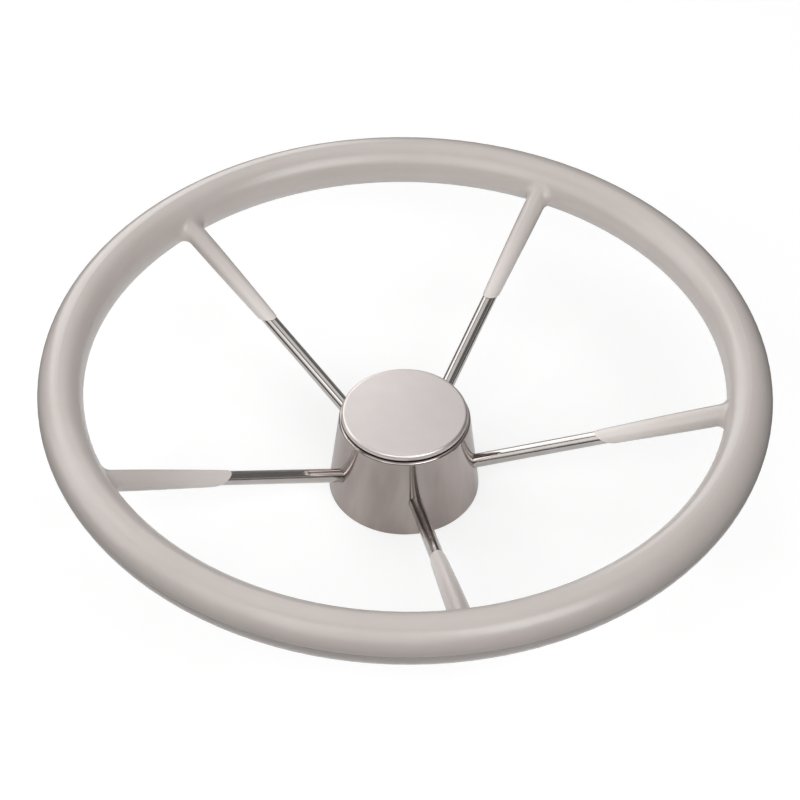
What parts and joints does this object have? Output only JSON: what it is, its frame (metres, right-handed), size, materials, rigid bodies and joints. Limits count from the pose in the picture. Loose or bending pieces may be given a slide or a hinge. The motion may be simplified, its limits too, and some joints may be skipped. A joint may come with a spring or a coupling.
{
  "type": "boat steering wheel",
  "caption": "Dished boat steering wheel with straight round rod spokes, a soft moulded grip over the rim and a tapered hub with a pull-off cap.",
  "frame": {"origin": "centre of the hub's back face, on the axis of the helm's shaft", "axes": "+Z along the shaft's axis towards the driver; +X to the right as the driver sees it; one spoke points near -Y"},
  "size_m": [0.3938, 0.3938, 0.0944],
  "materials": {
    "grip_foam": "moulded foam with a fine satin skin",
    "spoke_steel": "polished stainless rod",
    "polished_steel": "mirror polished stainless sheet",
    "cap_satin": "satin turned stainless",
    "tube_steel": "mill finish stainless tube",
    "turned_steel": "turned stainless bar",
    "plate_steel": "brushed stainless sheet",
    "washer_steel": "stamped stainless",
    "nut_steel": "bright stainless nut",
    "seal_rubber": "black rubber"
  },
  "bodies": {
    "wheel": {"grip": "grip_foam", "rim_tube": "tube_steel", "spoke_1": "spoke_steel", "spoke_2": "spoke_steel", "spoke_3": "spoke_steel", "spoke_4": "spoke_steel", "spoke_5": "spoke_steel", "hub_shell": "polished_steel", "hub_boss": "turned_steel", "hub_back_plate": "plate_steel", "shaft_washer": "washer_steel", "shaft_nut": "nut_steel"},
    "cap": {"hub_cap": "cap_satin", "cap_seal": "seal_rubber"}
  },
  "joints": [
    {"name": "cap_lift", "type": "slide", "parent": "wheel", "child": "cap", "axis": [0, 0, 1], "range_m": [0, 0.08]}
  ]
}
